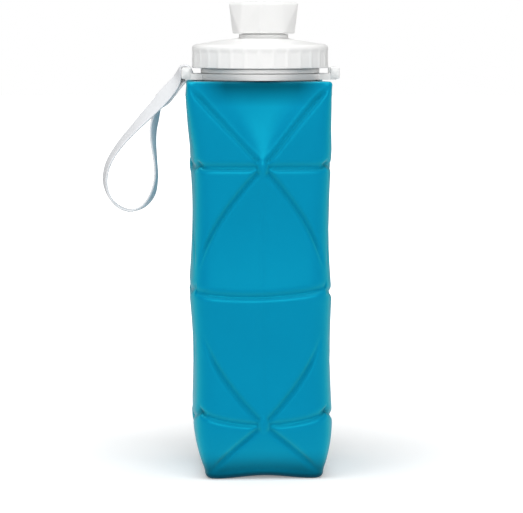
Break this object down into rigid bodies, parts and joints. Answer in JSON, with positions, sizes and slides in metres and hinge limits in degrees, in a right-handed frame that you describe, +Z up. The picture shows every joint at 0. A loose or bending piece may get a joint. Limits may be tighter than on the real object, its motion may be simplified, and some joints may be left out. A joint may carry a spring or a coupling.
{
  "type": "folding water bottle",
  "caption": "Soft square water bottle with X-shaped folding creases, a ribbed screw lid, a faceted spout cap and a wrist strap on a ring.",
  "frame": {"origin": "centre of the base, in the plane that the bottle stands on", "axes": "+Z up along the bottle's axis, -Y out of the front face, -X towards the side where the strap hangs"},
  "size_m": [0.1154, 0.0696, 0.2305],
  "materials": {
    "soft_silicone": "matte silicone",
    "white_plastic": "satin moulded",
    "strap_band": "smooth silicone",
    "seal_silicone": "clear silicone"
  },
  "bodies": {
    "base": {"base_section": "soft_silicone"},
    "lower_fold": {"lower_fold_section": "soft_silicone"},
    "upper_fold": {"upper_fold_section": "soft_silicone"},
    "neck": {"shoulder_section": "soft_silicone", "neck_collar": "white_plastic"},
    "ring": {"strap_ring": "white_plastic"},
    "wrist_strap": {"strap": "strap_band"},
    "lid_seal": {"lid_gasket": "seal_silicone"},
    "lid": {"lid": "white_plastic"},
    "cap_seal": {"spout_seal": "seal_silicone"},
    "cap": {"spout_cap": "white_plastic"}
  },
  "joints": [
    {"name": "body_fold", "type": "slide", "parent": "base", "child": "neck", "axis": [0, 0, -1], "range_m": [0, 0.086]},
    {"name": "fold_lower", "type": "slide", "parent": "base", "child": "lower_fold", "axis": [0, 0, -1], "range_m": [0, 0.0291]},
    {"name": "fold_upper", "type": "slide", "parent": "base", "child": "upper_fold", "axis": [0, 0, -1], "range_m": [0, 0.0541]},
    {"name": "ring_swivel", "type": "hinge", "parent": "neck", "child": "ring", "pos_m": [0, 0, 0.1944], "axis": [0, 0, 1], "range_deg": [-15, 15]},
    {"name": "strap_swing", "type": "hinge", "parent": "ring", "child": "wrist_strap", "pos_m": [-0.0367, 0, 0.1966], "axis": [0, 1, 0], "range_deg": [-6, 135]},
    {"name": "lid_lift", "type": "slide", "parent": "neck", "child": "lid_seal", "axis": [0, 0, 1], "range_m": [0, 0.0101]},
    {"name": "lid_turn", "type": "hinge", "parent": "lid_seal", "child": "lid", "pos_m": [0, 0, 0.2], "axis": [0, 0, 1], "range_deg": [0, 900]},
    {"name": "spout_cap_lift", "type": "slide", "parent": "lid", "child": "cap_seal", "axis": [0, 0, 1], "range_m": [0, 0.0121]},
    {"name": "spout_cap_turn", "type": "hinge", "parent": "cap_seal", "child": "cap", "pos_m": [0.0017, 0, 0.22], "axis": [0, 0, 1], "range_deg": [0, 1440]}
  ],
  "couplings": [
    {"joint": "fold_lower", "follows": "body_fold", "ratio": 0.33721},
    {"joint": "fold_upper", "follows": "body_fold", "ratio": 0.62791},
    {"joint": "lid_lift", "follows": "lid_turn", "m_per_rad": 0.00063662},
    {"joint": "spout_cap_lift", "follows": "spout_cap_turn", "m_per_rad": 0.00047746}
  ]
}
